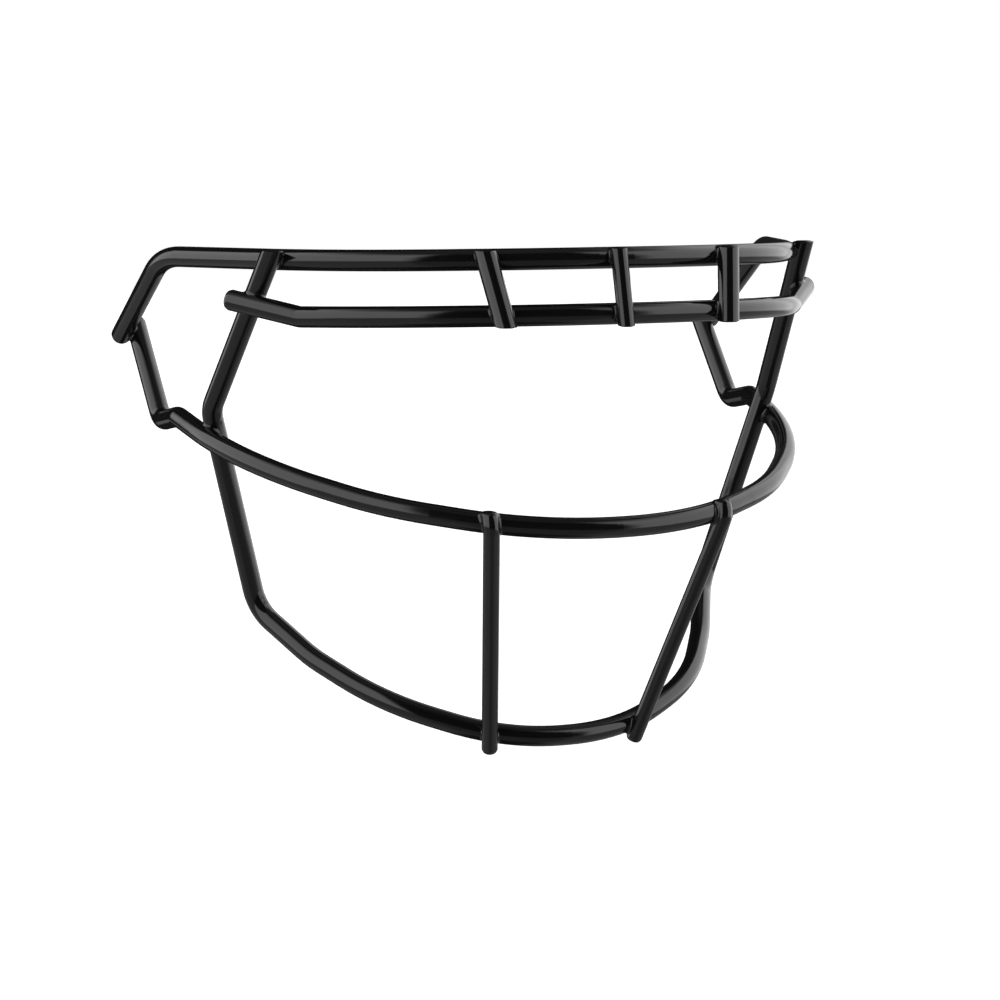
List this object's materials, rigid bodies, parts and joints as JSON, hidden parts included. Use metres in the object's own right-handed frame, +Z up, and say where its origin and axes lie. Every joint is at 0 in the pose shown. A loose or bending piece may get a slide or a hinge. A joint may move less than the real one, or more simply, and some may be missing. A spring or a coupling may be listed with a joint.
{
  "type": "football face guard",
  "caption": "Open wire face guard for a football helmet: a brow bar, an eye bar, a mouth wire and a jaw wire joined by short struts, welded where they cross and coated in glossy black polymer.",
  "frame": {"origin": "centre line of the brow bar at its foremost point, on the plane of symmetry", "axes": "+X to the right as seen from the front, which is the wearer's left; -Y forward, out of the face; +Z up as worn"},
  "size_m": [0.244, 0.183, 0.1739],
  "materials": {
    "wire_steel": "drawn low-carbon steel wire, bright and slightly oily, hidden under the coat",
    "black_coat": "dip-coated black polymer, glossy with a faint flow texture",
    "weld_steel": "fused weld nugget, hidden inside the joint"
  },
  "bodies": {
    "root": {"core_brow_bar": "wire_steel", "core_eye_bar": "wire_steel", "core_strut_left": "wire_steel", "core_strut_centre": "wire_steel", "core_strut_right": "wire_steel", "core_jaw_wire": "wire_steel", "core_mouth_wire": "wire_steel", "core_chin_left": "wire_steel", "core_chin_right": "wire_steel", "coat_brow_bar": "black_coat", "coat_eye_bar": "black_coat", "coat_strut_left": "black_coat", "coat_strut_centre": "black_coat", "coat_strut_right": "black_coat", "coat_jaw_wire": "black_coat", "coat_mouth_wire": "black_coat", "coat_chin_left": "black_coat", "coat_chin_right": "black_coat", "welds_brow_struts": "weld_steel", "welds_eye_struts": "weld_steel", "welds_brow_uprights": "weld_steel", "welds_eye_uprights": "weld_steel", "welds_mouth_uprights": "weld_steel", "welds_brow_legs": "weld_steel", "welds_mouth_chin": "weld_steel", "welds_jaw_chin": "weld_steel"}
  },
  "joints": []
}
